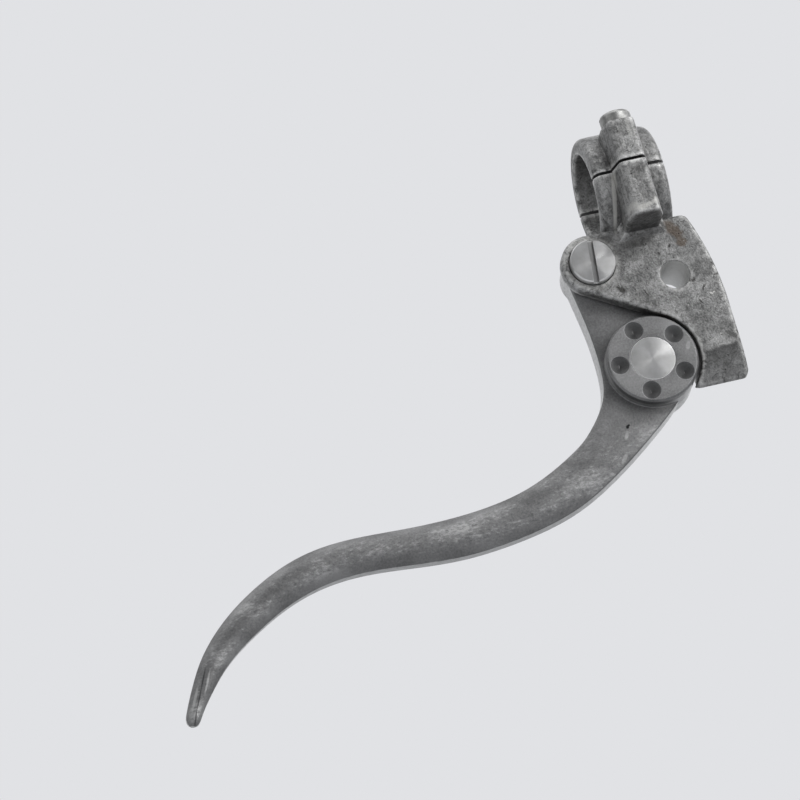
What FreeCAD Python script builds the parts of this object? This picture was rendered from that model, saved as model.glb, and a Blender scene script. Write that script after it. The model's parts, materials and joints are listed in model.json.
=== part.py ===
"""Bicycle brake lever: a cast bracket with a split clamp, a cast lever on a pivot screw, a cable barrel.

Millimetres. The origin is the centre of the clamp bore. +X runs along that bore, away from the lever's
tip, +Y points to the rear cheek and +Z is up. The lever swings in the XZ plane.
"""
import FreeCAD
import Part
import math
import os
from FreeCAD import Vector

# Split clamp
bar_d = 22.2
clamp_wall = 4.0
clamp_width = 18.8
clamp_gap = 0.8
clamp_edge_r = 2.2
clamp_lip = 0.4

# Clamp screws and the pillars that take them
clamp_screw_d = 5.0
clamp_head_d = 8.2
clamp_head_h = 3.2
clamp_head_dome_r = 1.1
clamp_slot_w = 1.2
clamp_slot_depth = 1.3
bore_to_screw_wall = 2.2
pillar_land = 0.6
pillar_top = 11.4
pillar_drop = 15.0
pillar_front_w = 6.6
pillar_front_wall = 2.7
pillar_corner_r = 1.3
pillar_end_r = 0.8
pillar_flare = 1.4
screw_hole_floor = 2.5
screw_tip_gap = 1.0
screw_tip_chamfer = 0.5

# Bracket casting
bracket_depth = 16.0
front_boss_r = 7.9
rear_boss_r = 5.6
block_right = 16.5
block_below_anchor = 9.5
block_round_r = 20.0
block_under_lean = 28.0
flank_start_above_anchor = 10.9
flank_r = 75.0
casting_corner_r = 2.2
casting_toe_r = 1.2
casting_edge_r = 0.9
smooth_angle = 8.0
toe_angle = 100.0

# Round hole through the bracket
eyelet_d = 7.4
eyelet_x = 5.0
eyelet_z = -28.2
eyelet_chamfer = 0.25

# Cable passage in the block
cable_hole_d = 2.6
housing_d = 5.0
housing_depth = 6.0
housing_clearance = 0.1

# Pivot of the lever
pivot_x = -14.8
pivot_z = -20.5
pivot_d = 6.0
pivot_head_d = 11.7
pivot_head_proud = 2.0
pivot_head_sink = 0.6
pivot_head_edge = 0.3
pivot_head_gap = 0.2
pivot_slot_w = 1.4
pivot_slot_depth = 1.2
pivot_slot_lean = 6.5
pivot_tip_proud = 1.0
pivot_tip_chamfer = 0.6
nut_flats = 8.5
nut_h = 3.2
bush_wall = 1.3

# Cable anchor: the raised disc on the lever and the barrel in it
anchor_right = 7.9
anchor_below = 28.4
disc_d = 23.5
disc_edge = 0.5
barrel_d = 11.7
barrel_edge = 0.12
nipple_d = 4.2
nipple_depth = 4.5
dimple_count = 5
dimple_d = 4.8
dimple_depth = 0.3
dimple_point = 1.3
dimple_circle_d = 17.4
cable_slot_w = 3.0
lever_travel = 32.0

# Lever casting
eye_r = 6.8
eye_depth = 8.8
neck_depth = 8.2
neck_margin = 0.85
neck_band = 6.6
neck_lean = 12.0
blade_reach = 131.0
blade_drop = 94.7
blade_width = 10.6
blade_depth = 8.0
blade_band = 2.8
blade_edge_r = 0.5
lever_sections = 24
tip_stations = 3

# Clearances
running_clearance = 0.03
press_clearance = 0.01
thread_clearance = 0.05
screw_clearance = 0.2
side_clearance = 0.3
nest_clearance = 0.75
swing_clearance = 0.8

# Sizes that follow from the ones above
bar_r = bar_d / 2
clamp_r = bar_r + clamp_wall
screw_hole_r = clamp_screw_d / 2 + screw_clearance
screw_y = bar_r + bore_to_screw_wall + screw_hole_r
pillar_half_w = clamp_head_d / 2 + pillar_land
pillar_front = screw_y + screw_hole_r + pillar_front_wall
face_y = bracket_depth / 2
slot_half = eye_depth / 2 + side_clearance
disc_r = disc_d / 2
nest_r = disc_r + nest_clearance
anchor_x = pivot_x + anchor_right
anchor_z = pivot_z - anchor_below
body_top = pivot_z + front_boss_r
pivot_r = pivot_d / 2
bush_r = pivot_r + running_clearance + bush_wall
eye_slot_r = eye_r + swing_clearance
cable_hole_r = cable_hole_d / 2


def spot(place, y=0.0):
    """A point in space from a place (x, z) in the lever's plane."""
    return Vector(place[0], y, place[1])


def polar(centre, radius, degrees):
    """A place at a radius and an angle from +X round a centre in the lever's plane."""
    turn = math.radians(degrees)
    return (centre[0] + radius * math.cos(turn), centre[1] + radius * math.sin(turn))


def line(start, end):
    """A straight edge between two places in the lever's plane."""
    return Part.LineSegment(spot(start), spot(end)).toShape()


def arc(start, middle, end):
    """A round edge through three places in the lever's plane."""
    return Part.Arc(spot(start), spot(middle), spot(end)).toShape()


def slab(edges, y_low, y_high):
    """A closed outline in the lever's plane, given depth from one Y to another."""
    face = Part.Face(Part.Wire(edges))
    face.translate(Vector(0, y_low, 0))
    return face.extrude(Vector(0, y_high - y_low, 0))


def round_y(radius, y_low, y_high, place):
    """A cylinder along Y."""
    return Part.makeCylinder(radius, y_high - y_low, spot(place, y_low), Vector(0, 1, 0))


def cone_y(radius_low, radius_high, y_low, y_high, place):
    """A cone along Y."""
    axis = Vector(0, 1, 0)
    return Part.makeCone(radius_low, radius_high, y_high - y_low, spot(place, y_low), axis)


def corner_edges(solid, least, most):
    """The edges along Y where the outline turns by an angle from least to most, in degrees."""
    found = []
    for edge in solid.Edges:
        if edge.Curve.TypeId != "Part::GeomLine" or abs(edge.Curve.Direction.y) < 0.999:
            continue
        middle = edge.valueAt((edge.FirstParameter + edge.LastParameter) / 2)
        walls = solid.ancestorsOfType(edge, Part.Face)
        normals = [wall.normalAt(*wall.Surface.parameter(middle)) for wall in walls]
        if len(normals) == 2 and least < math.degrees(normals[0].getAngle(normals[1])) < most:
            found.append(edge)
    return found


def outer_rim(solid, side):
    """The edges between the walls along Y and the faces that look to the front, -1, or the rear, 1."""
    found = []
    for edge in solid.Edges:
        middle = edge.valueAt((edge.FirstParameter + edge.LastParameter) / 2)
        walls = solid.ancestorsOfType(edge, Part.Face)
        looks = sorted(wall.normalAt(*wall.Surface.parameter(middle)).y * side for wall in walls)
        if len(looks) == 2 and abs(looks[0]) < 0.2 and looks[1] > 0.8:
            found.append(edge)
    return found


def rim_edges(solid, axis, level):
    """The edges that lie wholly at one level of an axis, 0, 1 or 2 for X, Y or Z."""
    found = []
    for edge in solid.Edges:
        box = edge.BoundBox
        low = (box.XMin, box.YMin, box.ZMin)[axis]
        high = (box.XMax, box.YMax, box.ZMax)[axis]
        if abs(low - level) < 0.001 and abs(high - level) < 0.001:
            found.append(edge)
    return found


def bracket_outline(boss_r):
    """The bracket's outline: clamp seat, pivot boss, nest for the lever's disc, block and flank."""
    pivot = (pivot_x, pivot_z)
    anchor = (anchor_x, anchor_z)
    bottom = anchor_z - block_below_anchor
    flank_start = anchor_z + flank_start_above_anchor
    flank_centre = (block_right - flank_r, flank_start)
    flank_turn = math.degrees(math.asin((body_top - flank_start) / flank_r))
    flank_end = polar(flank_centre, flank_r, flank_turn)
    shoulder = (-clamp_width / 2, body_top)
    rise = math.atan2(shoulder[1] - pivot_z, shoulder[0] - pivot_x)
    boss_start = math.degrees(rise + math.acos(boss_r / math.dist(shoulder, pivot)))
    heading = math.degrees(math.atan2(-anchor_below, anchor_right))
    lean = math.degrees(math.asin((boss_r + nest_r) / math.dist(pivot, anchor)))
    nest_start = heading + lean + 90
    boss_end = nest_start + 180
    nest_end = -math.degrees(math.asin(block_below_anchor / nest_r))
    toe = polar(anchor, nest_r, nest_end)
    boss_high = polar(pivot, boss_r, boss_start)
    boss_low = polar(pivot, boss_r, boss_end)
    nest_high = polar(anchor, nest_r, nest_start)
    return [
        line((block_right, bottom), (block_right, flank_start)),
        arc((block_right, flank_start), polar(flank_centre, flank_r, flank_turn / 2), flank_end),
        line(flank_end, shoulder),
        line(shoulder, boss_high),
        arc(boss_high, polar(pivot, boss_r, (boss_start + boss_end) / 2), boss_low),
        line(boss_low, nest_high),
        arc(nest_high, polar(anchor, nest_r, (nest_start + nest_end) / 2), toe),
        line(toe, (block_right, bottom)),
    ]


def bracket_plate(boss_r, y_low, y_high):
    """A layer of the bracket with rounded corners."""
    plate = slab(bracket_outline(boss_r), y_low, y_high)
    plate = plate.makeFillet(casting_corner_r, corner_edges(plate, smooth_angle, toe_angle))
    return plate.makeFillet(casting_toe_r, corner_edges(plate, toe_angle, 180))


def block_relief():
    """What the block's front loses below the cable line, where it rounds off."""
    length = 2 * (block_right - anchor_x)
    along_x = Vector(1, 0, 0)
    room = Part.makeBox(length, face_y, 2 * nest_r, Vector(anchor_x, -bracket_depth, anchor_z - 2 * nest_r))
    room = room.fuse(room.translated(Vector(0, face_y, 0)))
    centre = Vector(anchor_x, -face_y + block_round_r, anchor_z)
    return room.cut(Part.makeCylinder(block_round_r, length, centre, along_x))


def block_underside():
    """What the block loses behind its front layer, where its underside rises to the rear."""
    bottom = anchor_z - block_below_anchor
    rise = (bracket_depth + slot_half) * math.tan(math.radians(block_under_lean))
    corners = [
        Vector(anchor_x, -slot_half, bottom),
        Vector(anchor_x, bracket_depth, bottom + rise),
        Vector(anchor_x, bracket_depth, bottom - rise),
        Vector(anchor_x, -slot_half, bottom - rise),
    ]
    side = Part.Face(Part.makePolygon(corners + corners[:1]))
    return side.extrude(Vector(2 * (block_right - anchor_x), 0, 0))


def lever_room():
    """The space between the cheeks that the lever's eye and neck need, to the left of the web."""
    pivot = (pivot_x, pivot_z)
    anchor = (anchor_x, anchor_z)
    between = math.hypot(anchor_right, anchor_below)
    heading = math.degrees(math.atan2(-anchor_below, anchor_right))
    side = heading + math.degrees(math.acos((eye_slot_r - nest_r) / between))
    far_left = pivot_x - 4 * eye_slot_r
    far_low = anchor_z - 2 * nest_r
    top = pivot_z + eye_slot_r
    edges = [
        arc((pivot_x, top), polar(pivot, eye_slot_r, (90 + side) / 2), polar(pivot, eye_slot_r, side)),
        line(polar(pivot, eye_slot_r, side), polar(anchor, nest_r, side)),
        line(polar(anchor, nest_r, side), anchor),
        line(anchor, (anchor_x, far_low)),
        line((anchor_x, far_low), (far_left, far_low)),
        line((far_left, far_low), (far_left, top)),
        line((far_left, top), (pivot_x, top)),
    ]
    return slab(edges, -slot_half, slot_half)


def clamp_ring():
    """The whole clamp ring, with rounded outer rims, before it is split."""
    half = clamp_width / 2
    corners = [
        Vector(-half, 0, bar_r),
        Vector(half, 0, bar_r),
        Vector(half, 0, clamp_r),
        Vector(-half, 0, clamp_r),
    ]
    section = Part.Face(Part.makePolygon(corners + corners[:1]))
    ring = section.revolve(Vector(0, 0, 0), Vector(1, 0, 0), 360)
    rims = rim_edges(ring, 0, -half) + rim_edges(ring, 0, half)
    outer = [edge for edge in rims if edge.Curve.Radius > bar_r + clamp_wall / 2]
    inner = [edge for edge in rims if edge.Curve.Radius < bar_r + clamp_wall / 2]
    return ring.makeFillet(clamp_edge_r, outer).makeChamfer(clamp_lip, inner)


def clamp_pillars():
    """The two pillars for the clamp screws, in front of and behind the bore."""
    front_half = pillar_front_w / 2
    base = face_y - casting_edge_r * 2
    corners = [
        Vector(-pillar_half_w, -base, -pillar_drop),
        Vector(-pillar_half_w, -screw_y, -pillar_drop),
        Vector(-front_half, -pillar_front, -pillar_drop),
        Vector(front_half, -pillar_front, -pillar_drop),
        Vector(pillar_half_w, -screw_y, -pillar_drop),
        Vector(pillar_half_w, -base, -pillar_drop),
    ]
    plan = Part.Face(Part.makePolygon(corners + corners[:1]))
    pillar = plan.extrude(Vector(0, 0, pillar_drop + pillar_top))
    upright = [
        edge for edge in pillar.Edges
        if abs(edge.Length - pillar_drop - pillar_top) < 0.001 and edge.BoundBox.YMax < -base - 0.001
    ]
    pillar = pillar.makeFillet(pillar_corner_r, upright)
    ends = rim_edges(pillar, 2, pillar_top) + rim_edges(pillar, 2, -pillar_drop)
    pillar = pillar.makeFillet(pillar_end_r, [edge for edge in ends if edge.BoundBox.YMin < -base - 0.001])
    return [pillar, pillar.mirror(Vector(0, 0, 0), Vector(0, 1, 0))]


def pillar_feet():
    """The flared feet where the pillars grow out of the cheeks."""
    top = body_top + casting_edge_r
    wires = []
    for spread, y in ((pillar_flare, -face_y), (0.0, -face_y - pillar_flare)):
        side = pillar_half_w + spread
        low = -pillar_drop - spread
        corners = [Vector(-side, y, low), Vector(side, y, low), Vector(side, y, top), Vector(-side, y, top)]
        wires.append(Part.makePolygon(corners + corners[:1]))
    foot = Part.makeLoft(wires, True, True)
    return [foot, foot.mirror(Vector(0, 0, 0), Vector(0, 1, 0))]


def clamp_half(upper):
    """The upper or the lower half of the clamp: half the ring with its half of both pillars."""
    reach = 3 * clamp_r
    block = Part.makeBox(2 * reach, 2 * reach, reach, Vector(-reach, -reach, clamp_gap / 2))
    if not upper:
        block.translate(Vector(0, 0, -reach - clamp_gap))
    whole = clamp_ring().fuse(clamp_pillars())
    return whole.common(block)


def clamp_bore():
    """The clamp's bore, longer than the clamp."""
    return Part.makeCylinder(bar_r, 3 * clamp_width, Vector(-1.5 * clamp_width, 0, 0), Vector(1, 0, 0))


def screw_hole(y, radius, z_low, z_high):
    """An upright round hole for a clamp screw."""
    return Part.makeCylinder(radius, z_high - z_low, Vector(0, y, z_low))


def make_bracket():
    """The bracket casting: lower clamp half, two cheeks and the web with the cable passage."""
    front = bracket_plate(front_boss_r, -face_y, -slot_half).cut(block_relief())
    front = front.makeFillet(casting_edge_r, outer_rim(front, -1))
    rear = bracket_plate(rear_boss_r, -slot_half, face_y)
    rear = rear.makeFillet(casting_edge_r, outer_rim(rear, 1)).cut([lever_room(), block_underside()])
    body = front.fuse([rear, clamp_half(False)] + pillar_feet()).removeSplitter()
    pivot = (pivot_x, pivot_z)
    hole_floor = -pillar_drop + screw_hole_floor
    eyelet = (eyelet_x, eyelet_z)
    eyelet_r = eyelet_d / 2
    flare_r = eyelet_r + eyelet_chamfer
    housing_r = housing_d / 2 + housing_clearance
    along_x = Vector(1, 0, 0)
    stop = block_right - housing_depth
    cuts = [
        clamp_bore(),
        screw_hole(-screw_y, clamp_screw_d / 2 + thread_clearance, hole_floor, pillar_top),
        screw_hole(screw_y, clamp_screw_d / 2 + thread_clearance, hole_floor, pillar_top),
        round_y(pivot_r + running_clearance, -bracket_depth, bracket_depth, pivot),
        round_y(pivot_head_d / 2 + pivot_head_gap, -bracket_depth, -face_y + pivot_head_sink, pivot),
        round_y(eyelet_r, -bracket_depth, bracket_depth, eyelet),
        cone_y(flare_r, eyelet_r, -face_y, -face_y + eyelet_chamfer, eyelet),
        cone_y(eyelet_r, flare_r, face_y - eyelet_chamfer, face_y, eyelet),
        Part.makeCylinder(cable_hole_r, block_right - anchor_x, Vector(anchor_x, 0, anchor_z), along_x),
        Part.makeCylinder(housing_r, 2 * housing_depth, Vector(stop, 0, anchor_z), along_x),
    ]
    return body.cut(cuts)


def make_clamp_cap():
    """The upper clamp half with clear holes for its two screws."""
    holes = [screw_hole(side * screw_y, screw_hole_r, -clamp_gap, pillar_top + clamp_gap) for side in (-1, 1)]
    return clamp_half(True).removeSplitter().cut(holes + [clamp_bore()])


def make_clamp_bolt(y):
    """A slotted cheese-head screw, seated on the cap and screwed into the bracket."""
    tip = -pillar_drop + screw_hole_floor + screw_tip_gap
    shank = Part.makeCylinder(clamp_screw_d / 2, pillar_top - tip, Vector(0, y, tip))
    shank = shank.makeChamfer(screw_tip_chamfer, rim_edges(shank, 2, tip))
    head = Part.makeCylinder(clamp_head_d / 2, clamp_head_h, Vector(0, y, pillar_top))
    head = head.makeFillet(clamp_head_dome_r, rim_edges(head, 2, pillar_top + clamp_head_h))
    slot_floor = pillar_top + clamp_head_h - clamp_slot_depth
    slot = Part.makeBox(
        2 * clamp_head_d, clamp_slot_w, 2 * clamp_slot_depth,
        Vector(-clamp_head_d, y - clamp_slot_w / 2, slot_floor),
    )
    return shank.fuse(head).cut(slot).removeSplitter()


def make_pivot_screw():
    """The screw that the lever turns on, with a wide flat slotted head in front."""
    pivot = (pivot_x, pivot_z)
    head_top = -face_y - pivot_head_proud
    seat = -face_y + pivot_head_sink
    tip = face_y + nut_h + pivot_tip_proud
    head = round_y(pivot_head_d / 2, head_top, seat, pivot)
    head = head.makeChamfer(pivot_head_edge, rim_edges(head, 1, head_top))
    shank = round_y(pivot_r, seat, tip, pivot)
    shank = shank.makeChamfer(pivot_tip_chamfer, rim_edges(shank, 1, tip))
    slot = Part.makeBox(
        pivot_slot_w, 2 * pivot_slot_depth, 2 * pivot_head_d,
        Vector(pivot_x - pivot_slot_w / 2, head_top - pivot_slot_depth, pivot_z - pivot_head_d),
    )
    slot.rotate(spot(pivot), Vector(0, 1, 0), pivot_slot_lean)
    return head.fuse(shank).cut(slot).removeSplitter()


def make_pivot_nut():
    """A thin hexagon nut behind the rear cheek, with its corners turned off."""
    corner_r = nut_flats / 2 / math.cos(math.pi / 6)
    pivot = (pivot_x, pivot_z)
    corners = [spot(polar(pivot, corner_r, 60 * step), face_y) for step in range(6)]
    nut = Part.Face(Part.makePolygon(corners + corners[:1])).extrude(Vector(0, nut_h, 0))
    turned = cone_y(corner_r + nut_h, nut_flats / 2, face_y, face_y + nut_h, pivot)
    hole = round_y(pivot_r + thread_clearance, face_y, face_y + nut_h, pivot)
    return nut.common(turned).cut(hole)


def make_pivot_bush():
    """A plain bush pressed into the lever's eye, flush with it."""
    half = eye_depth / 2
    bush = round_y(bush_r, -half, half, (pivot_x, pivot_z))
    return bush.cut(round_y(pivot_r + running_clearance, -half, half, (pivot_x, pivot_z)))


def lever_section(left, right, depth, band):
    """A cross-section of the lever: two bowed faces and two flat bands with rounded corners."""
    centre = (left + right) * 0.5
    across = (left - right).normalize()
    half = (left - right).Length / 2
    bow = (depth - band) / 2
    face_r = (half * half + bow * bow) / (2 * bow)
    face_v = depth / 2 - face_r
    edge_r = min(blade_edge_r, band / 4)
    corner_u = half - edge_r
    corner_v = face_v + math.sqrt((face_r - edge_r) ** 2 - corner_u ** 2)
    lift = math.atan2(corner_v - face_v, corner_u)
    touch = (face_r * math.cos(lift), face_v + face_r * math.sin(lift))
    bend = (corner_u + edge_r * math.cos(lift / 2), corner_v + edge_r * math.sin(lift / 2))

    def at(u, v):
        return centre + across * u + Vector(0, v, 0)

    edges = [
        Part.LineSegment(at(half, -corner_v), at(half, corner_v)),
        Part.Arc(at(half, corner_v), at(*bend), at(*touch)),
        Part.Arc(at(*touch), at(0, depth / 2), at(-touch[0], touch[1])),
        Part.Arc(at(-touch[0], touch[1]), at(-bend[0], bend[1]), at(-half, corner_v)),
        Part.LineSegment(at(-half, corner_v), at(-half, -corner_v)),
        Part.Arc(at(-half, -corner_v), at(-bend[0], -bend[1]), at(-touch[0], -touch[1])),
        Part.Arc(at(-touch[0], -touch[1]), at(0, -depth / 2), at(touch[0], -touch[1])),
        Part.Arc(at(touch[0], -touch[1]), at(bend[0], -bend[1]), at(half, -corner_v)),
    ]
    return Part.Wire([edge.toShape() for edge in edges])


def neck_stations():
    """Left and right ends of the neck's sections, from the eye past the disc to the inner bend."""
    margin = disc_r + neck_margin
    places = [
        ((-1.06, 1.42), (0.20, 1.50)),
        ((-1.00, 0.63), (0.62, 0.56)),
        ((-1.05, -0.21), (0.75, -0.38)),
        ((-1.20, -0.60), (0.26, -0.94)),
        ((-1.60, -1.11), (-0.56, -1.60)),
    ]
    pivot = (pivot_x, pivot_z)
    pairs = [(polar(pivot, eye_r, 180 + neck_lean), polar(pivot, eye_r, neck_lean))]
    for left, right in places:
        pairs.append((
            (anchor_x + left[0] * margin, anchor_z + left[1] * margin),
            (anchor_x + right[0] * margin, anchor_z + right[1] * margin),
        ))
    return pairs


def blade_stations():
    """The blade's centre line as shares of its reach and drop, with shares of width, depth and band."""
    return [
        (0.112, 0.546, 1.13, 1.00, 1.80),
        (0.202, 0.605, 1.08, 1.00, 1.40),
        (0.307, 0.639, 1.02, 1.00, 1.10),
        (0.412, 0.650, 1.00, 1.00, 1.00),
        (0.515, 0.644, 0.92, 0.98, 1.00),
        (0.611, 0.639, 0.90, 0.95, 0.95),
        (0.698, 0.654, 0.90, 0.90, 0.90),
        (0.780, 0.696, 0.85, 0.82, 0.80),
        (0.858, 0.760, 0.78, 0.72, 0.70),
        (0.924, 0.838, 0.63, 0.60, 0.60),
        (0.968, 0.918, 0.47, 0.50, 0.50),
        (0.990, 0.967, 0.38, 0.44, 0.45),
        (0.998, 0.990, 0.30, 0.36, 0.35),
        (1.000, 1.000, 0.12, 0.15, 0.12),
    ]


def lever_stations():
    """Every section of the lever as left end, right end, depth and flat band."""
    stations = [(left, right, neck_depth, neck_band) for left, right in neck_stations()]
    left, right = stations[-1][:2]
    centres = [((left[0] + right[0]) / 2, (left[1] + right[1]) / 2)]
    for along, down, *_ in blade_stations():
        centres.append((pivot_x - along * blade_reach, pivot_z - down * blade_drop))
    for index, (_, _, width, depth, band) in enumerate(blade_stations(), start=1):
        before = centres[index - 1]
        after = centres[min(index + 1, len(centres) - 1)]
        half = width * blade_width / 2 / math.dist(before, after)
        out_x = (after[1] - before[1]) * half
        out_z = (before[0] - after[0]) * half
        x, z = centres[index]
        stations.append((
            (x + out_x, z + out_z), (x - out_x, z - out_z), depth * blade_depth, band * blade_band,
        ))
    return stations


def rail(points, steps):
    """A smooth curve that passes each point at its step."""
    curve = Part.BSplineCurve()
    curve.interpolate(Points=points, Parameters=steps)
    return curve


def lever_casting():
    """The lever's neck and blade, lofted between smooth rails along its left and right edges."""
    stations = lever_stations()
    steps = [0.0]
    for (left, right, *_), (next_left, next_right, *_) in zip(stations, stations[1:]):
        run_x = (next_left[0] + next_right[0] - left[0] - right[0]) / 2
        run_z = (next_left[1] + next_right[1] - left[1] - right[1]) / 2
        steps.append(steps[-1] + math.hypot(run_x, run_z))
    left_rail = rail([spot(left) for left, *_ in stations], steps)
    right_rail = rail([spot(right) for _, right, *_ in stations], steps)
    girth = rail([Vector(depth, band, step) for (_, _, depth, band), step in zip(stations, steps)], steps)
    even = [steps[-tip_stations - 1] * index / lever_sections for index in range(lever_sections + 1)]
    wires = []
    for step in even + steps[-tip_stations:]:
        left = left_rail.value(step)
        right = right_rail.value(step)
        depth, band, _ = girth.value(step)
        wires.append(lever_section(left, right, depth, band))
    return Part.makeLoft(wires, True)


def make_lever_blade():
    """The lever in one piece: eye, neck, disc with dimples and blade, with its cable slots."""
    pivot = (pivot_x, pivot_z)
    anchor = (anchor_x, anchor_z)
    disc = round_y(disc_r, -face_y, eye_depth / 2, anchor)
    disc = disc.makeChamfer(disc_edge, rim_edges(disc, 1, -face_y))
    lever = lever_casting().fuse([round_y(eye_r, -eye_depth / 2, eye_depth / 2, pivot), disc])
    cuts = [
        round_y(bush_r + press_clearance, -eye_depth, eye_depth, pivot),
        round_y(barrel_d / 2 + running_clearance, -bracket_depth, bracket_depth, anchor),
    ]
    for step in range(dimple_count):
        place = polar(anchor, dimple_circle_d / 2, 180 + step * 360 / dimple_count)
        floor = face_y - dimple_depth
        point = floor - dimple_point
        cuts.append(round_y(dimple_d / 2, -face_y, -floor, place))
        cuts.append(cone_y(dimple_d / 2, 0, -floor, -point, place))
    return lever.cut(cuts + cable_slots())


def cable_slots():
    """The slot that the cable swings in as the lever moves, and the way in from the rear for it."""
    anchor = (anchor_x, anchor_z)
    half = cable_slot_w / 2
    far = 2 * disc_r
    fan = [
        line((anchor_x, anchor_z - half), (anchor_x + far, anchor_z - half)),
        line((anchor_x + far, anchor_z - half), polar(anchor, far, lever_travel)),
        line(polar(anchor, far, lever_travel), polar(anchor, half, 90 + lever_travel)),
        line(polar(anchor, half, 90 + lever_travel), (anchor_x, anchor_z - half)),
    ]
    entry = Part.makeBox(far, bracket_depth, cable_slot_w, Vector(anchor_x, 0, anchor_z - half))
    return [slab(fan, -half, half), entry]


def make_cable_trunnion():
    """The cross barrel that holds the cable's end, flush with the lever's faces."""
    anchor = (anchor_x, anchor_z)
    barrel_r = barrel_d / 2
    along_x = Vector(1, 0, 0)
    barrel = round_y(barrel_r, -face_y, eye_depth / 2, anchor)
    ends = rim_edges(barrel, 1, -face_y) + rim_edges(barrel, 1, eye_depth / 2)
    barrel = barrel.makeChamfer(barrel_edge, ends)
    start = Vector(anchor_x - barrel_r, 0, anchor_z)
    cable = Part.makeCylinder(cable_hole_r, barrel_d, start, along_x)
    nipple = Part.makeCylinder(nipple_d / 2, nipple_depth, start, along_x)
    return barrel.cut([cable, nipple])


nodes = {
    "bracket": make_bracket(),
    "clamp_cap": make_clamp_cap(),
    "clamp_bolt_front": make_clamp_bolt(-screw_y),
    "clamp_bolt_rear": make_clamp_bolt(screw_y),
    "pivot_screw": make_pivot_screw(),
    "pivot_nut": make_pivot_nut(),
    "pivot_bush": make_pivot_bush(),
    "lever_blade": make_lever_blade(),
    "cable_trunnion": make_cable_trunnion(),
}
os.makedirs("parts", exist_ok=True)
for name, shape in nodes.items():
    shape.exportStep("parts/" + name + ".step")
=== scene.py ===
import bpy
import json
import math
from mathutils import Matrix, Vector


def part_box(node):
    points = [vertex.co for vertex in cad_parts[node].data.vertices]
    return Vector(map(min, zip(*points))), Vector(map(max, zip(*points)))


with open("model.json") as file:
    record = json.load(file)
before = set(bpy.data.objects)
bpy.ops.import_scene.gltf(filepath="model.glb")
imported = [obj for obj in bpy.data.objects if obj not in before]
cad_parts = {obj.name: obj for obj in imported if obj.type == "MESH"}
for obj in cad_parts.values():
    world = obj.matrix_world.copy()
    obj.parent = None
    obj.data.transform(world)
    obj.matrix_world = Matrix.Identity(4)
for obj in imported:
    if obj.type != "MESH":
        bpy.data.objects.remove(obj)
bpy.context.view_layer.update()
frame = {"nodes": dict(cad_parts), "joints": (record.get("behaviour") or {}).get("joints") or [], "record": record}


# Bracket and clamp cap: the two castings of the split clamp, with a thin line between them.
# Aluminium poured in sand, never polished: a dull grey skin with soft patches, gas pits and cold folds.
# Years of handling have rubbed the edges light and scratched the pillar; a painted highlight lightens
# rounded edges further, and corners and undersides carry painted shade, the corners some dirt too.
def linear(hex_colour):
    """An sRGB hex colour as linear RGBA."""
    shares = [int(hex_colour[i:i + 2], 16) / 255 for i in (1, 3, 5)]
    return [s / 12.92 if s <= 0.04045 else ((s + 0.055) / 1.055) ** 2.4 for s in shares] + [1.0]


def add(tree, kind, sockets, **settings):
    """Adds a node with its settings; a socket that is given an output is linked, and any other is set."""
    node = tree.nodes.new(kind)
    for name, value in settings.items():
        setattr(node, name, value)
    for key, value in sockets.items():
        if isinstance(value, bpy.types.Node):
            value = next(output for output in value.outputs if output.enabled)
        if isinstance(value, bpy.types.NodeSocket):
            tree.links.new(value, node.inputs[key])
        else:
            node.inputs[key].default_value = value
    return node


def finish_of(name, metallic):
    """A new material: itself, its node tree, its shader and its coordinates."""
    material = bpy.data.materials.new(name)
    material.use_nodes = True
    tree = material.node_tree
    shader = tree.nodes["Principled BSDF"]
    shader.inputs["Metallic"].default_value = metallic
    return material, tree, shader, add(tree, "ShaderNodeTexCoord", {})


def coat(tree, shader, ground, coats):
    """Lays coats of colour over a ground, each where its cover says, and gives the result to the shader."""
    below = linear(ground)
    for cover, colour in coats:
        below = add(tree, "ShaderNodeMix", {0: cover, 6: below, 7: linear(colour)}, data_type="RGBA")
    tree.links.new(below.outputs[2], shader.inputs["Base Color"])


def relief(tree, shader, roughness, height, strength, deep_mm, normal):
    """Gives the shader its roughness and a bump of the height pattern over rounded edges."""
    bump = add(tree, "ShaderNodeBump", {
        "Height": height, "Strength": strength, "Distance": deep_mm / 1000, "Normal": normal})
    tree.links.new(roughness.outputs[0], shader.inputs["Roughness"])
    tree.links.new(bump.outputs[0], shader.inputs["Normal"])


def dress(material, *names):
    """Gives CAD nodes their material."""
    for name in names:
        slots = frame["nodes"][name].data.materials
        slots.clear()
        slots.append(material)


def marks(tree, place, share, within, spots):
    """Soft oval marks on a front face, at a share of full strength and only within the cover given.
    Each has its middle x and z, length and width in mm, and its lean in degrees."""
    full_at = 0.45
    cover = None
    for x, z, length, width, lean in spots:
        turned = add(tree, "ShaderNodeMapping", {
            "Vector": place,
            "Location": (x / 1000, 0.0, z / 1000),
            "Rotation": (0.0, math.radians(-lean), 0.0),
            "Scale": (length / 2000, 1.0, width / 2000)}, vector_type="TEXTURE")
        flat = add(tree, "ShaderNodeVectorMath", {0: turned, 1: (1.0, 0.0, 1.0)}, operation="MULTIPLY")
        far = add(tree, "ShaderNodeVectorMath", {0: flat}, operation="LENGTH").outputs["Value"]
        near = add(tree, "ShaderNodeMapRange", {
            "Value": far, "From Min": 1.0, "From Max": full_at, "To Max": share},
            interpolation_type="SMOOTHSTEP")
        if cover is None:
            cover = near
        else:
            cover = add(tree, "ShaderNodeMath", {0: cover, 1: near}, operation="MAXIMUM")
    return add(tree, "ShaderNodeMath", {0: cover, 1: within}, operation="MULTIPLY")


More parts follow.
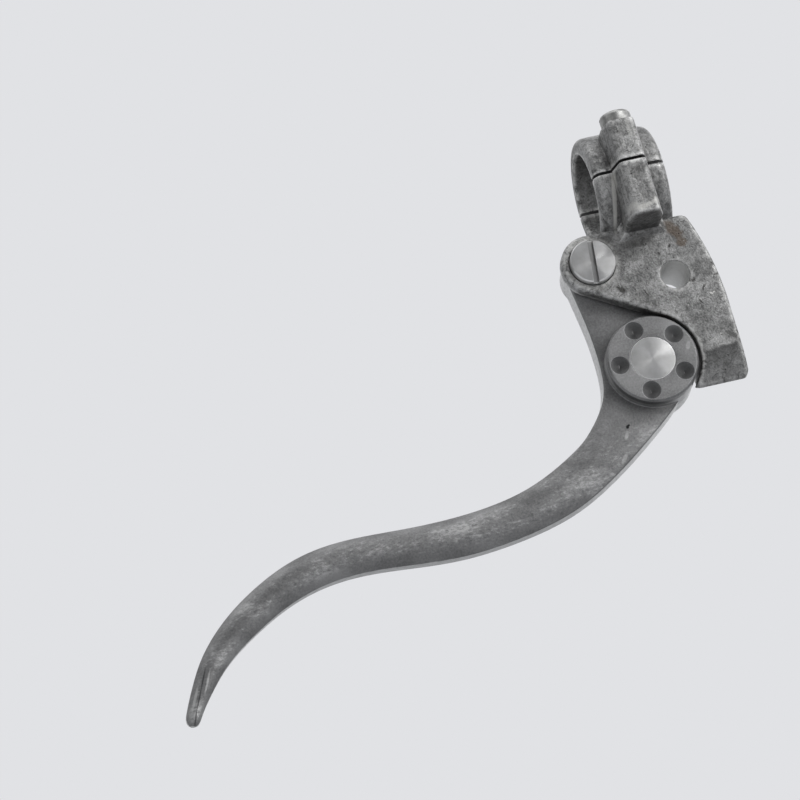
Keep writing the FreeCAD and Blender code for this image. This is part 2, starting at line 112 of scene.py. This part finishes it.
def off_axis(tree, place, axis):
    """How far a point is, in mm, from an axis that runs front to back through a point of the frame."""
    moved = add(tree, "ShaderNodeMapping", {"Vector": place, "Location": (-axis[0], 0.0, -axis[2])})
    flat = add(tree, "ShaderNodeVectorMath", {0: moved, 1: (1000.0, 0.0, 1000.0)}, operation="MULTIPLY")
    return add(tree, "ShaderNodeVectorMath", {0: flat}, operation="LENGTH").outputs["Value"]


cast, tree, shader, coords = finish_of("sand_cast_aluminium", 0.65)
place = coords.outputs["Object"]
spread = add(tree, "ShaderNodeSeparateXYZ", {"Vector": place})
patch_mm, mottle_mm, grain_mm = 7.0, 1.6, 0.5
patch = add(tree, "ShaderNodeTexNoise", {"Vector": place, "Scale": 1000 / patch_mm, "Detail": 2.0})
mottle = add(tree, "ShaderNodeTexNoise", {
    "Vector": place, "Scale": 1000 / mottle_mm, "Detail": 4.0, "Roughness": 0.6, "Distortion": 0.6})
grain = add(tree, "ShaderNodeTexNoise", {"Vector": place, "Scale": 1000 / grain_mm, "Detail": 2.0})
patch_part, mottle_part, grain_part = 0.7, 0.6, 0.45
tone = add(tree, "ShaderNodeMath", {0: patch, 1: patch_part}, operation="MULTIPLY")
tone = add(tree, "ShaderNodeMath", {0: mottle, 1: mottle_part, 2: tone}, operation="MULTIPLY_ADD")
tone = add(tree, "ShaderNodeMath", {0: grain, 1: grain_part, 2: tone}, operation="MULTIPLY_ADD")
shade = add(tree, "ShaderNodeMapRange", {"Value": tone, "From Min": 0.71, "From Max": 1.05})

# Thin folds where the metal met itself half cold, and single gas pits and bright scratches.
fold_mm, pit_mm, glint_mm = 2.6, 1.5, 2.0
fold = add(tree, "ShaderNodeTexNoise", {
    "Vector": place, "Scale": 1000 / fold_mm, "Detail": 2.0, "Distortion": 1.5})
noise_middle = 0.5
fold = add(tree, "ShaderNodeMath", {0: fold, 1: noise_middle}, operation="SUBTRACT")
fold = add(tree, "ShaderNodeMath", {0: fold}, operation="ABSOLUTE")
fold = add(tree, "ShaderNodeMapRange", {
    "Value": fold, "From Min": 0.026, "From Max": 0.004, "To Max": 0.7})
folded = add(tree, "ShaderNodeMapRange", {"Value": patch, "From Min": 0.42, "From Max": 0.54})
folds = add(tree, "ShaderNodeMath", {0: fold, 1: folded}, operation="MULTIPLY")
specks = []
for cell_mm, widest, share in ((pit_mm, 0.20, 0.8), (glint_mm, 0.15, 0.55)):
    cells = add(tree, "ShaderNodeTexVoronoi", {"Vector": place, "Scale": 1000 / cell_mm})
    chance = add(tree, "ShaderNodeSeparateColor", {"Color": cells.outputs["Color"]})
    reach = add(tree, "ShaderNodeMapRange", {"Value": chance, "From Min": 0.4, "To Max": widest})
    inside = add(tree, "ShaderNodeMath", {0: reach, 1: cells.outputs["Distance"]}, operation="SUBTRACT")
    specks.append(add(tree, "ShaderNodeMapRange", {"Value": inside, "From Max": 0.08, "To Max": share}))
pits, glints = specks

# Marks of this one casting, drawn a little ragged: stain, drags and nicks; painted shadow with some grime
# below the pillar, a painted highlight along its left edge, and painted shade on the end of the block.
ragged_mm, cheek_front_mm = 2.2, -7.6
ragged = add(tree, "ShaderNodeVectorMath", {
    0: mottle.outputs["Color"], 1: (noise_middle, noise_middle, noise_middle)}, operation="SUBTRACT")
ragged = add(tree, "ShaderNodeVectorMath", {
    0: ragged, 1: (ragged_mm / 1000, 0.0, ragged_mm / 1000), 2: place}, operation="MULTIPLY_ADD").outputs[0]
front = add(tree, "ShaderNodeMapRange", {
    "Value": spread.outputs["Y"],
    "From Min": (cheek_front_mm + 0.6) / 1000, "From Max": cheek_front_mm / 1000})
stain = marks(tree, ragged, 0.75, front, [(8.0, -16.5, 9.0, 4.0, -62), (9.0, -20.0, 4.0, 3.5, -50)])
drags = marks(tree, ragged, 0.85, front, [
    (5.7, -20.1, 1.7, 0.8, 70), (2.5, -21.6, 1.0, 0.8, 0), (11.1, -33.2, 2.6, 0.8, 48),
    (-3.7, -31.1, 3.4, 0.5, -75), (-9.8, -29.0, 4.2, 1.6, -50), (9.4, -36.8, 0.9, 0.8, 0),
    (8.6, -30.8, 2.4, 1.2, 0), (15.2, -30.6, 1.2, 0.5, 40)])
# Painted shadow below the pillar, with some grime.
pillar_shadow_and_grime = marks(tree, ragged, 0.5, front, [(-1.0, -17.2, 12.0, 4.0, 8), (-9.5, -15.2, 5.0, 3.0, 20)])
nicks = marks(tree, place, 0.8, front, [(12.6, -35.2, 1.3, 0.6, -35), (13.3, -35.0, 0.8, 0.4, 50)])
# Painted highlight along the rounded left edge of the pillar.
pillar_edge_highlight = marks(tree, place, 0.9, front, [(-5.6, -6.7, 20.0, 1.5, 81.5)])
depth = add(tree, "ShaderNodeSeparateXYZ", {"Vector": ragged})
# Painted shade on the end of the block, eased near its foot by painted light from below.
end_slope, end_top_mm, end_dark_mm, end_lit_mm, end_foot_mm = -0.08, -50.2, -50.9, -52.0, -56.0
down = add(tree, "ShaderNodeMath", {
    0: depth.outputs["X"], 1: end_slope, 2: depth.outputs["Z"]}, operation="MULTIPLY_ADD")
low = add(tree, "ShaderNodeMapRange", {
    "Value": down, "From Min": end_top_mm / 1000, "From Max": end_dark_mm / 1000, "To Max": 0.8})
wear_and_foot_light = add(tree, "ShaderNodeMapRange", {
    "Value": down, "From Min": end_foot_mm / 1000, "From Max": end_lit_mm / 1000, "To Min": 0.35})
low = add(tree, "ShaderNodeMath", {0: low, 1: wear_and_foot_light}, operation="MULTIPLY")

# Lengthwise scratches on the clamp's pillar, and the scuffed foot of its front.
pillar_from_mm, pillar_full_mm = -10.5, -12.0
pillar = add(tree, "ShaderNodeMapRange", {
    "Value": spread.outputs["Y"], "From Min": pillar_from_mm / 1000, "From Max": pillar_full_mm / 1000})
scratch_mm, scratch_long = 0.6, 12.5
upright = add(tree, "ShaderNodeMapping", {"Vector": place, "Scale": (1.0, 1.0, 1 / scratch_long)})
scratch = add(tree, "ShaderNodeTexNoise", {"Vector": upright, "Scale": 1000 / scratch_mm, "Detail": 3.0})
bright = add(tree, "ShaderNodeMapRange", {
    "Value": scratch, "From Min": 0.56, "From Max": 0.74, "To Max": 0.45})
bright = add(tree, "ShaderNodeMath", {0: bright, 1: pillar}, operation="MULTIPLY")
dull = add(tree, "ShaderNodeMapRange", {
    "Value": scratch, "From Min": 0.44, "From Max": 0.28, "To Max": 0.4})
dull = add(tree, "ShaderNodeMath", {0: dull, 1: pillar}, operation="MULTIPLY")
scuff = marks(tree, ragged, 0.6, front, [
    (-0.6, -13.2, 8.0, 1.8, 8), (-3.4, -12.6, 3.0, 3.0, 0), (2.6, -12.4, 2.6, 2.6, 0)])

# Edges lighter, partly rubbed to bright metal and partly a painted highlight on rounded edges;
# painted shade with some dirt in the corners, and painted shade on the underside.
edge_mm, nook_mm = 0.7, 3.0
soft_edge = add(tree, "ShaderNodeBevel", {"Radius": edge_mm / 1000}, samples=6)
metal_behind = add(tree, "ShaderNodeAmbientOcclusion", {
    "Distance": 2 * edge_mm / 1000}, samples=8, inside=True).outputs["AO"]
# Lighter edges: part rubbed bright metal, part painted highlight on rounded edges.
lighter_edges = add(tree, "ShaderNodeMapRange", {
    "Value": metal_behind, "From Min": 0.94, "From Max": 0.66, "To Max": 0.85})
patchy = add(tree, "ShaderNodeMapRange", {"Value": mottle, "From Min": 0.34, "From Max": 0.58})
lighter_edges = add(tree, "ShaderNodeMath", {0: lighter_edges, 1: patchy}, operation="MULTIPLY")
# Painted shade, with some dirt, in the corners: darker where nearby surfaces close in.
open_sky = add(tree, "ShaderNodeAmbientOcclusion", {"Distance": nook_mm / 1000}, samples=6).outputs["AO"]
nook_shade_and_dirt = add(tree, "ShaderNodeMapRange", {
    "Value": open_sky, "From Min": 0.8, "From Max": 0.25, "To Max": 0.85})
turn = add(tree, "ShaderNodeSeparateXYZ", {"Vector": coords.outputs["Normal"]})
# Painted shade on faces that turn downwards.
underside_shade = add(tree, "ShaderNodeMapRange", {
    "Value": turn.outputs["Z"], "From Min": -0.25, "From Max": -0.85, "To Max": 0.45})

# Clean metal in the drilled hole and round the screw's head, and a painted highlight along the lip of the nest
# that takes the disc.
mounts = {mount["name"]: mount for mount in frame["record"]["mounts"]}
axes = {joint["name"]: joint["pos_m"] for joint in frame["joints"]}
drilled_mm = mounts["cross_hole"]["dims"]["r_mm"] + 0.02
from_hole = off_axis(tree, place, mounts["cross_hole"]["pos_m"])
drilled = add(tree, "ShaderNodeMapRange", {
    "Value": from_hole, "From Min": drilled_mm + 0.05, "From Max": drilled_mm, "To Max": 0.9})
eased_near_hole = add(tree, "ShaderNodeMapRange", {
    "Value": from_hole, "From Min": drilled_mm + 0.4, "From Max": drilled_mm + 1.4, "To Min": 0.45})
lighter_edges = add(tree, "ShaderNodeMath", {0: lighter_edges, 1: eased_near_hole}, operation="MULTIPLY")
head_low, head_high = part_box("pivot_screw")
head_mm = 1000 * (head_high.x - head_low.x) / 2
round_head = add(tree, "ShaderNodeMapRange", {
    "Value": off_axis(tree, ragged, axes["lever_pivot"]),
    "From Min": head_mm + 1.65, "From Max": head_mm + 0.65, "To Max": 0.55})
round_head = add(tree, "ShaderNodeMath", {0: round_head, 1: patchy}, operation="MULTIPLY")
round_head = add(tree, "ShaderNodeMath", {0: round_head, 1: front}, operation="MULTIPLY")
nest_mm = 12.5
# Painted highlight along the rounded lip of the nest.
nest_lip_highlight = add(tree, "ShaderNodeMapRange", {
    "Value": off_axis(tree, place, axes["cable_swivel"]),
    "From Min": nest_mm + 1.0, "From Max": nest_mm + 0.6, "To Max": 0.6})
nest_lip_highlight = add(tree, "ShaderNodeMath", {0: nest_lip_highlight, 1: patchy}, operation="MULTIPLY")
coat(tree, shader, "#5a5a59", [
    (shade, "#9e9e9d"), (folds, "#3a3938"), (stain, "#564a3f"), (pillar_shadow_and_grime, "#3c3b39"), (drags, "#2f2d2b"),
    (low, "#3a3a3a"), (dull, "#4f4e4d"), (bright, "#c6c5c1"), (pits, "#2d2b2a"), (glints, "#c2c1be"),
    (nicks, "#d4d3cf"), (pillar_edge_highlight, "#cfcec9"), (scuff, "#c0bfbb"), (round_head, "#bebdb9"),
    (nest_lip_highlight, "#d0cfcc"), (lighter_edges, "#dededc"), (underside_shade, "#333231"), (nook_shade_and_dirt, "#302e2c"), (drilled, "#cacac8")])
pit_part = -0.8
height = add(tree, "ShaderNodeMath", {0: pits, 1: pit_part, 2: tone}, operation="MULTIPLY_ADD")
gloss = add(tree, "ShaderNodeMapRange", {
    "Value": mottle, "From Min": 0.3, "From Max": 0.7, "To Min": 0.58, "To Max": 0.42})
relief(tree, shader, gloss, height, strength=0.5, deep_mm=0.3, normal=soft_edge)
dress(cast, "bracket", "clamp_cap")


# Lever: eye, raised disc, neck and blade in one piece, die-cast aluminium tumbled to a satin grey.
# The crest of the blade is flecked where fingers have worn through the grey, the parting line along
# both sides is ground to bright metal, and the disc is faced flat.
satin, tree, shader, coords = finish_of("tumbled_die_cast_aluminium", 0.6)
place = coords.outputs["Object"]
blade_lean, drawn_along = math.radians(20), 2.0
along = add(tree, "ShaderNodeMapping", {
    "Vector": place, "Rotation": (0.0, blade_lean, 0.0), "Scale": (1 / drawn_along, 1.0, 1.0)})
cloud_mm, fleck_mm, grain_mm = 6.0, 0.8, 0.5
cloud = add(tree, "ShaderNodeTexNoise", {"Vector": along, "Scale": 1000 / cloud_mm, "Detail": 2.0})
fleck = add(tree, "ShaderNodeTexNoise", {
    "Vector": along, "Scale": 1000 / fleck_mm, "Detail": 5.0, "Roughness": 0.75})
grain = add(tree, "ShaderNodeTexNoise", {"Vector": place, "Scale": 1000 / grain_mm, "Detail": 2.0})
grain_part, cloud_part = 0.6, 0.5
tone = add(tree, "ShaderNodeMath", {0: grain, 1: grain_part, 2: cloud}, operation="MULTIPLY_ADD")
shade = add(tree, "ShaderNodeMapRange", {"Value": tone, "From Min": 0.55, "From Max": 1.05})
turn = add(tree, "ShaderNodeSeparateXYZ", {"Vector": coords.outputs["Normal"]})
spread = add(tree, "ShaderNodeSeparateXYZ", {"Vector": place})
side = add(tree, "ShaderNodeMath", {0: turn.outputs["Y"]}, operation="ABSOLUTE")
crest = add(tree, "ShaderNodeMapRange", {
    "Value": side, "From Min": 0.78, "From Max": 0.97}, interpolation_type="SMOOTHSTEP")
blade_from_mm, blade_full_mm = -60.0, -72.0
blade = add(tree, "ShaderNodeMapRange", {
    "Value": spread.outputs["Z"], "From Min": blade_from_mm / 1000, "From Max": blade_full_mm / 1000})
felt = add(tree, "ShaderNodeMath", {0: crest, 1: blade}, operation="MULTIPLY")
wear_and_foot_light = add(tree, "ShaderNodeMath", {0: cloud, 1: cloud_part, 2: fleck}, operation="MULTIPLY_ADD")
scuffed = add(tree, "ShaderNodeMapRange", {
    "Value": wear_and_foot_light, "From Min": 0.78, "From Max": 0.92, "To Max": 0.6})
scuffed = add(tree, "ShaderNodeMath", {0: scuffed, 1: felt}, operation="MULTIPLY")
dented = add(tree, "ShaderNodeMapRange", {
    "Value": fleck, "From Min": 0.46, "From Max": 0.30, "To Max": 0.75})
dented = add(tree, "ShaderNodeMath", {0: dented, 1: felt}, operation="MULTIPLY")
parting = add(tree, "ShaderNodeMapRange", {"Value": side, "From Min": 0.3, "From Max": 0.12, "To Max": 0.9})
disc_side_mm, parting_from_mm = -6.2, -5.2
behind = add(tree, "ShaderNodeMapRange", {
    "Value": spread.outputs["Y"], "From Min": disc_side_mm / 1000, "From Max": parting_from_mm / 1000})
parting = add(tree, "ShaderNodeMath", {0: parting, 1: behind}, operation="MULTIPLY")
broken = add(tree, "ShaderNodeMapRange", {
    "Value": fleck, "From Min": 0.3, "From Max": 0.55, "To Min": 0.5})
parting = add(tree, "ShaderNodeMath", {0: parting, 1: broken}, operation="MULTIPLY")

# Marks of this one lever, on its front half: a fold down to the tip with a light lip beside it,
# a gas pit and two smears on the neck, and one smear on the disc.
front_full_mm = -1.0
front = add(tree, "ShaderNodeMapRange", {
    "Value": spread.outputs["Y"], "From Min": 0.0, "From Max": front_full_mm / 1000})
crease = marks(tree, place, 0.75, front, [
    (-140.2, -104.1, 8.5, 0.5, 63.9), (-142.7, -109.2, 8.4, 0.5, 63.4), (-144.8, -113.8, 7.0, 0.6, 68.4)])
chipped = add(tree, "ShaderNodeMath", {0: broken, 1: front}, operation="MULTIPLY")
lip = marks(tree, place, 0.6, chipped, [
    (-139.3, -105.0, 8.0, 0.7, 63.9), (-143.6, -108.8, 9.0, 0.9, 63.4), (-145.8, -116.4, 3.4, 1.1, 5)])
pit = marks(tree, place, 1.0, front, [(-17.5, -64.05, 1.5, 1.1, 60), (-17.1, -63.7, 0.9, 0.7, 0)])
flecked = add(tree, "ShaderNodeMath", {0: fleck, 1: front}, operation="MULTIPLY")
smear = marks(tree, place, 0.8, flecked, [
    (-18.4, -66.4, 2.6, 1.2, 60), (-20.5, -72.0, 4.0, 1.4, 50), (2.8, -47.6, 3.4, 1.5, 65)])

# Edges rubbed light; painted shade on the underside, in the dimples and round the foot of the disc,
# and painted shade with some grime in the corners.
edge_mm, nook_mm = 0.45, 1.8
soft_edge = add(tree, "ShaderNodeBevel", {"Radius": edge_mm / 1000}, samples=6)
facing = add(tree, "ShaderNodeNewGeometry", {}).outputs["Normal"]
bend = add(tree, "ShaderNodeVectorMath", {
    0: soft_edge, 1: facing}, operation="DOT_PRODUCT").outputs["Value"]
lighter_edges = add(tree, "ShaderNodeMapRange", {"Value": bend, "From Min": 0.99, "From Max": 0.88, "To Max": 0.7})
lighter_edges = add(tree, "ShaderNodeMath", {0: lighter_edges, 1: fleck}, operation="MULTIPLY")
# Painted shade, with some grime, in the corners: darker where nearby surfaces close in.
open_sky = add(tree, "ShaderNodeAmbientOcclusion", {"Distance": nook_mm / 1000}, samples=6).outputs["AO"]
nook_shade_and_dirt = add(tree, "ShaderNodeMapRange", {
    "Value": open_sky, "From Min": 0.6, "From Max": 0.2, "To Max": 0.25})
# Painted shade on faces that turn downwards.
underside_shade = add(tree, "ShaderNodeMapRange", {
    "Value": turn.outputs["Z"], "From Min": -0.15, "From Max": -0.75, "To Max": 0.4})
barrel_x, _, barrel_z = (1000 * metres for metres in axes["cable_swivel"])
disc_face_mm = 1000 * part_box("lever_blade")[0].y
disc_mm, dimple_circle_mm, grease_and_shade_mm, dimple_count = 11.75, 8.7, 8.0, 5
# Painted shade inside the five dimples, darkest in their middles.
sunk = add(tree, "ShaderNodeMapRange", {
    "Value": spread.outputs["Y"],
    "From Min": (disc_face_mm + 0.02) / 1000, "From Max": (disc_face_mm + 0.2) / 1000})
sunk = add(tree, "ShaderNodeMath", {0: sunk, 1: front}, operation="MULTIPLY")
bearings = [math.radians(180 + step * 360 / dimple_count) for step in range(dimple_count)]
dimple_shade = marks(tree, place, 0.65, sunk, [
    (barrel_x + dimple_circle_mm * math.cos(bearing), barrel_z + dimple_circle_mm * math.sin(bearing),
     grease_and_shade_mm, grease_and_shade_mm, 0) for bearing in bearings])
# Painted shade round the foot of the disc.
foot = add(tree, "ShaderNodeMapRange", {
    "Value": off_axis(tree, place, axes["cable_swivel"]),
    "From Min": disc_mm + 2.2, "From Max": disc_mm + 0.1, "To Max": 0.4})
beyond = add(tree, "ShaderNodeMapRange", {
    "Value": spread.outputs["Y"],
    "From Min": (disc_face_mm + 0.4) / 1000, "From Max": (disc_face_mm + 0.8) / 1000})
beyond = add(tree, "ShaderNodeMath", {0: beyond, 1: front}, operation="MULTIPLY")
foot = add(tree, "ShaderNodeMath", {0: foot, 1: beyond}, operation="MULTIPLY")
coat(tree, shader, "#626262", [
    (shade, "#8b8b8b"), (scuffed, "#b4b4b3"), (dented, "#4a4a4a"), (parting, "#d6d6d5"),
    (crease, "#333334"), (lip, "#b8b8b7"), (foot, "#3e3e3e"), (dimple_shade, "#2c2c2c"), (pit, "#121212"),
    (smear, "#b5b5b4"), (lighter_edges, "#bdbdbd"), (underside_shade, "#343434"), (nook_shade_and_dirt, "#343434")])
gloss = add(tree, "ShaderNodeMapRange", {
    "Value": fleck, "From Min": 0.3, "From Max": 0.7, "To Min": 0.5, "To Max": 0.38})
relief(tree, shader, gloss, wear_and_foot_light, strength=0.3, deep_mm=0.2, normal=soft_edge)
dress(satin, "lever_blade")


# Pivot bush: a plain bearing pressed into the lever's eye, hardly seen between the cheeks.
# Bored bronze, brown with old grease.
bronze, tree, shader, coords = finish_of("bearing_bronze", 1.0)
grease_and_shade_mm, edge_mm = 1.5, 0.2
grease = add(tree, "ShaderNodeTexNoise", {
    "Vector": coords.outputs["Object"], "Scale": 1000 / grease_and_shade_mm, "Detail": 3.0})
brown = add(tree, "ShaderNodeMapRange", {"Value": grease, "From Min": 0.35, "From Max": 0.65})
coat(tree, shader, "#a8895a", [(brown, "#6e5836")])
gloss = add(tree, "ShaderNodeMapRange", {"Value": grease, "To Min": 0.3, "To Max": 0.5})
soft_edge = add(tree, "ShaderNodeBevel", {"Radius": edge_mm / 1000}, samples=4)
relief(tree, shader, gloss, grease, strength=0.1, deep_mm=0.1, normal=soft_edge)
dress(bronze, "pivot_bush")


# Cable barrel and pivot screw: turned from round steel and faced on the lathe, the screw's slot sawn after.
# The facing tool leaves rings too fine to see one by one, drawn coarser here; they draw each light out
# into a wedge from the middle. The barrel's sharp rim is broken with a file, and a painted highlight lies on it.
def lathe_faced(name, node, axis, rim_wide_mm, rim_highlight_colour, dome_per_m, drawn_out, smooth):
    """Dresses a node in turned steel whose face, cut in rings round an axis, rises in a low dome."""
    turned, tree, shader, coords = finish_of(name, 1.0)
    low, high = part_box(node)
    face_mm = 1000 * low.y
    rim_mm = 1000 * (high.x - low.x) / 2 - rim_wide_mm
    radius = off_axis(tree, coords.outputs["Object"], axis)
    spread = add(tree, "ShaderNodeSeparateXYZ", {"Vector": coords.outputs["Object"]})
    smear_mm, ring_mm, ring_deep_mm, edge_mm, nook_mm = 2.0, 0.3, 0.0012, 0.1, 1.5
    smear = add(tree, "ShaderNodeTexNoise", {
        "Vector": coords.outputs["Object"], "Scale": 1000 / smear_mm, "Detail": 3.0})
    bright = add(tree, "ShaderNodeMapRange", {"Value": smear, "From Min": 0.35, "From Max": 0.65})
    # Painted highlight along the filed rim, over its bright metal.
    rim_highlight = add(tree, "ShaderNodeMapRange", {"Value": radius, "From Min": rim_mm - 0.05, "From Max": rim_mm})
    sawn = add(tree, "ShaderNodeMapRange", {
        "Value": spread.outputs["Y"],
        "From Min": (face_mm + 0.3) / 1000, "From Max": (face_mm + 0.9) / 1000, "To Max": 0.45})
    head = add(tree, "ShaderNodeMapRange", {
        "Value": spread.outputs["Y"],
        "From Min": (face_mm + 1.6) / 1000, "From Max": (face_mm + 1.4) / 1000})
    sawn = add(tree, "ShaderNodeMath", {0: sawn, 1: head}, operation="MULTIPLY")
    # Painted shade, with some dirt, in the nooks round the face.
    open_sky = add(tree, "ShaderNodeAmbientOcclusion", {
        "Distance": nook_mm / 1000}, samples=6).outputs["AO"]
    nook_shade_and_dirt = add(tree, "ShaderNodeMapRange", {
        "Value": open_sky, "From Min": 0.5, "From Max": 0.1, "To Max": 0.5})
    coat(tree, shader, "#a8a8a7", [
        (bright, "#b2b2b2"), (sawn, "#7d7c7a"), (rim_highlight, rim_highlight_colour), (nook_shade_and_dirt, "#4a4947")])
    ring = add(tree, "ShaderNodeMath", {0: radius, 1: 2 * math.pi / ring_mm}, operation="MULTIPLY")
    ring = add(tree, "ShaderNodeMath", {0: ring}, operation="SINE")
    square_mm_in_m = 1e-6
    dome = add(tree, "ShaderNodeMath", {0: radius, 1: radius}, operation="MULTIPLY")
    dome = add(tree, "ShaderNodeMath", {0: dome, 1: -dome_per_m * square_mm_in_m}, operation="MULTIPLY")
    height = add(tree, "ShaderNodeMath", {
        0: ring, 1: ring_deep_mm / 1000, 2: dome}, operation="MULTIPLY_ADD")
    gloss = add(tree, "ShaderNodeMapRange", {"Value": smear, "To Min": smooth, "To Max": smooth + 0.03})
    soft_edge = add(tree, "ShaderNodeBevel", {"Radius": edge_mm / 1000}, samples=4)
    relief(tree, shader, gloss, height, strength=1.0, deep_mm=1000.0, normal=soft_edge)
    rings = add(tree, "ShaderNodeTangent", {}, direction_type="RADIAL", axis="Y")
    tree.links.new(rings.outputs["Tangent"], shader.inputs["Tangent"])
    quarter_turn = 0.25
    shader.inputs["Anisotropic"].default_value = drawn_out
    shader.inputs["Anisotropic Rotation"].default_value = quarter_turn
    dress(turned, node)


lathe_faced(
    "lathe_faced_barrel_steel", "cable_trunnion", axes["cable_swivel"],
    rim_wide_mm=0.15, rim_highlight_colour="#f2f2f1", dome_per_m=9.0, drawn_out=0.75, smooth=0.33)
lathe_faced(
    "lathe_faced_screw_steel", "pivot_screw", axes["lever_pivot"],
    rim_wide_mm=0.30, rim_highlight_colour="#c0c0bf", dome_per_m=10.0, drawn_out=0.85, smooth=0.30)


# Clamp screws and pivot nut: cold-headed steel hardware with a bright zinc plate.
# The plate is smooth and faintly cloudy, with painted shade and some dirt round the foot of each head.
plated, tree, shader, coords = finish_of("bright_zinc_plated_steel", 1.0)
cloud_mm, edge_mm, nook_mm = 1.2, 0.35, 1.5
cloud = add(tree, "ShaderNodeTexNoise", {
    "Vector": coords.outputs["Object"], "Scale": 1000 / cloud_mm, "Detail": 3.0})
bright = add(tree, "ShaderNodeMapRange", {"Value": cloud, "From Min": 0.35, "From Max": 0.65})
# Painted shade, with some dirt, round the foot of each head.
open_sky = add(tree, "ShaderNodeAmbientOcclusion", {"Distance": nook_mm / 1000}, samples=6).outputs["AO"]
nook_shade_and_dirt = add(tree, "ShaderNodeMapRange", {
    "Value": open_sky, "From Min": 0.75, "From Max": 0.25, "To Max": 0.8})
coat(tree, shader, "#8f8f8d", [(bright, "#b2b2b0"), (nook_shade_and_dirt, "#33312f")])
gloss = add(tree, "ShaderNodeMapRange", {"Value": cloud, "To Min": 0.40, "To Max": 0.50})
soft_edge = add(tree, "ShaderNodeBevel", {"Radius": edge_mm / 1000}, samples=6)
relief(tree, shader, gloss, cloud, strength=0.2, deep_mm=0.1, normal=soft_edge)
dress(plated, "clamp_bolt_front", "clamp_bolt_rear", "pivot_nut")


# Studio floor: matt pale paper, well below the part, which keeps the part's soft shadow.
# It is lifted to the room's tone where it is seen, straight or in the metal, so no horizon shows.
backdrop = "#e1e2e5"
half, level, lift = 60.0, -1.5, 0.48
floor_mesh = bpy.data.meshes.new("studio_floor")
floor_mesh.from_pydata(
    [(-half, -half, level), (half, -half, level), (half, half, level), (-half, half, level)],
    [], [(0, 1, 2, 3)])
floor = bpy.data.objects.new("studio_floor", floor_mesh)
bpy.context.scene.collection.objects.link(floor)
paper, tree, shader, _ = finish_of("pale_paper", 0.0)
shader.inputs["Base Color"].default_value = linear("#d4d5d7")
shader.inputs["Roughness"].default_value = 0.9
shader.inputs["Emission Color"].default_value = linear(backdrop)
rays = add(tree, "ShaderNodeLightPath", {})
mirrored = add(tree, "ShaderNodeMath", {
    0: rays.outputs["Is Glossy Ray"], 1: rays.outputs["Is Transmission Ray"]}, operation="MAXIMUM")
shown = add(tree, "ShaderNodeMath", {
    0: rays.outputs["Is Camera Ray"], 1: mirrored}, operation="MAXIMUM")
lifted = add(tree, "ShaderNodeMath", {0: shown, 1: lift}, operation="MULTIPLY")
tree.links.new(lifted.outputs[0], shader.inputs["Emission Strength"])
floor_mesh.materials.append(paper)


# Room and lamps: a plain pale room, greyer on its near side in reflections, and soft square lamps.
# The key comes from the front right; the two small lamps draw the wedges on the faced steel.
room = bpy.data.worlds.new("pale_room")
bpy.context.scene.world = room
room.use_nodes = True
tree = room.node_tree
lightest = Vector((0.45, 0.50, 0.74)).normalized()
towards = add(tree, "ShaderNodeVectorMath", {
    0: add(tree, "ShaderNodeTexCoord", {}), 1: lightest}, operation="DOT_PRODUCT").outputs["Value"]
share = add(tree, "ShaderNodeMapRange", {"Value": towards, "From Min": -0.3, "From Max": 0.5})
rays = add(tree, "ShaderNodeLightPath", {})
mirrored = add(tree, "ShaderNodeMath", {
    0: rays.outputs["Is Glossy Ray"], 1: rays.outputs["Is Transmission Ray"]}, operation="MAXIMUM")
seen = add(tree, "ShaderNodeMix", {
    0: share, 6: linear("#6e6f71"), 7: linear(backdrop)}, data_type="RGBA")
around = add(tree, "ShaderNodeMix", {0: mirrored, 6: linear("#c8c9cb"), 7: seen}, data_type="RGBA")
lit = add(tree, "ShaderNodeMix", {
    0: rays.outputs["Is Camera Ray"], 6: around, 7: linear(backdrop)}, data_type="RGBA")
tree.links.new(lit.outputs[2], tree.nodes["Background"].inputs["Color"])

lit_point = Vector((-0.05, 0.0, -0.05))
for name, towards, far, size, watts in (
    ("key_lamp", (0.72, -0.62, 0.30), 1.5, 1.5, 10.0),
    ("wedge_lamp", (0.573, -0.666, 0.476), 1.3, 0.2, 1.5),
    ("low_wedge_lamp", (0.472, -0.880, -0.027), 1.3, 0.2, 0.5),
    ("top_lamp", (-0.10, -0.25, 0.96), 1.5, 1.2, 4.2),
    ("fill_lamp", (-0.72, -0.62, 0.35), 1.5, 1.0, 2.0),
    ("back_lamp", (0.45, 0.80, 0.40), 1.5, 1.2, 5.0),
):
    lamp = bpy.data.lights.new(name, "AREA")
    lamp.size = size
    lamp.energy = watts
    holder = bpy.data.objects.new(name, lamp)
    holder.location = lit_point + Vector(towards).normalized() * far
    holder.rotation_mode = "QUATERNION"
    holder.rotation_quaternion = (lit_point - holder.location).to_track_quat("-Z", "Y")
    bpy.context.scene.collection.objects.link(holder)


# Camera: at the photograph's angle, far off, looking up at the part from its front left and leaning.
# The point it looks at, its direction and the width of its frame there are fitted to the photograph.
target = Vector((-0.07094, 0.0, -0.04229))
look = Vector((0.2032, 0.92063, 0.33338)).normalized()
right = Vector((0.95588, -0.11275, -0.27126))
right = (right - look * right.dot(look)).normalized()
distance, frame_width = 4.0, 0.20191
camera_data = bpy.data.cameras.new("camera")
camera_data.lens = camera_data.sensor_width * distance / frame_width
camera = bpy.data.objects.new("camera", camera_data)
turn = Matrix((right, right.cross(look), -look)).transposed().to_4x4()
camera.matrix_world = Matrix.Translation(target - look * distance) @ turn
bpy.context.scene.collection.objects.link(camera)
bpy.context.scene.camera = camera
bpy.context.scene.view_settings.view_transform = "Standard"
